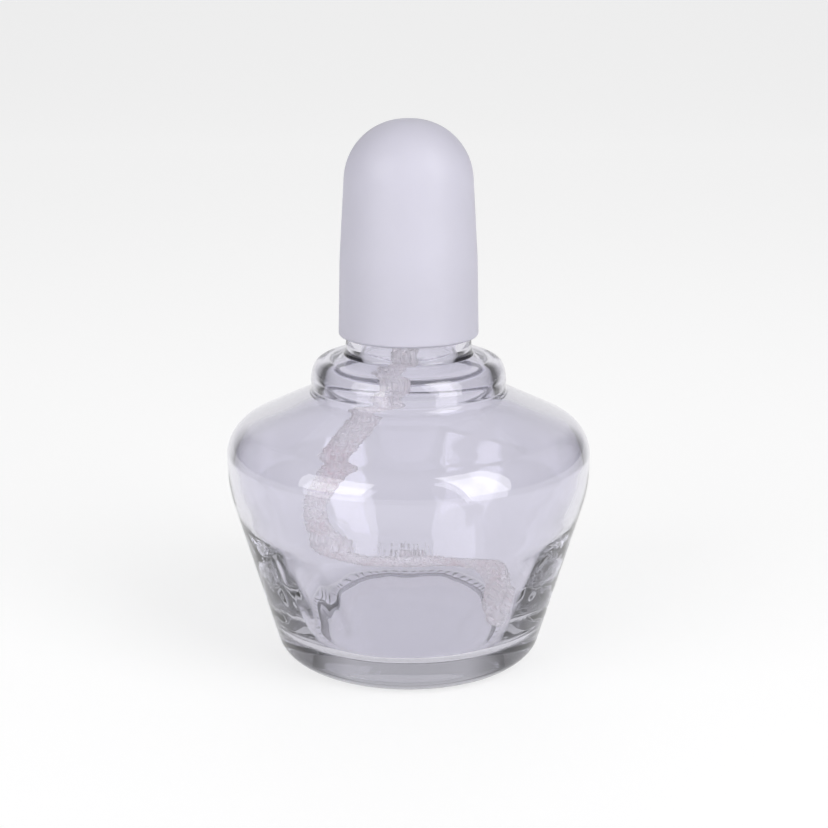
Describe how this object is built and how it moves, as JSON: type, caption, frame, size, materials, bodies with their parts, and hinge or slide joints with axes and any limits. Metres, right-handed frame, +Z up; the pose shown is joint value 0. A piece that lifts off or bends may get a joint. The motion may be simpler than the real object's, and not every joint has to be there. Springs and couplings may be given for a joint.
{
  "type": "alcohol burner",
  "caption": "Glass spirit burner: a round flared reservoir with a collared neck, a frosted glass cap, a porcelain wick holder and a long limp wick.",
  "frame": {"origin": "centre of the ring that the reservoir stands on", "axes": "+Z up, along the axis of the reservoir, neck and cap; the wick's tail lies towards -X and +Y"},
  "size_m": [0.0766, 0.0766, 0.1134],
  "materials": {
    "clear_glass": "polished, thick and slightly uneven",
    "frosted_glass": "frosted all over, satin",
    "porcelain": "white glaze",
    "cotton_wick": "loose plaited cotton, fluffy"
  },
  "bodies": {
    "reservoir": {"glass_reservoir": "clear_glass", "wick_tail": "cotton_wick"},
    "holder": {"wick_holder": "porcelain"},
    "wick": {"wick_top": "cotton_wick"},
    "cap": {"glass_cap": "frosted_glass"}
  },
  "joints": [
    {"name": "holder_lift", "type": "slide", "parent": "reservoir", "child": "holder", "axis": [0, 0, 1], "range_m": [0, 0.024], "deforming": ["wick_tail"]},
    {"name": "wick_feed", "type": "slide", "parent": "holder", "child": "wick", "axis": [0, 0, 1], "range_m": [-0.003, 0.006]},
    {"name": "cap_lift", "type": "slide", "parent": "holder", "child": "cap", "axis": [0, 0, 1], "range_m": [0, 0.045]}
  ]
}
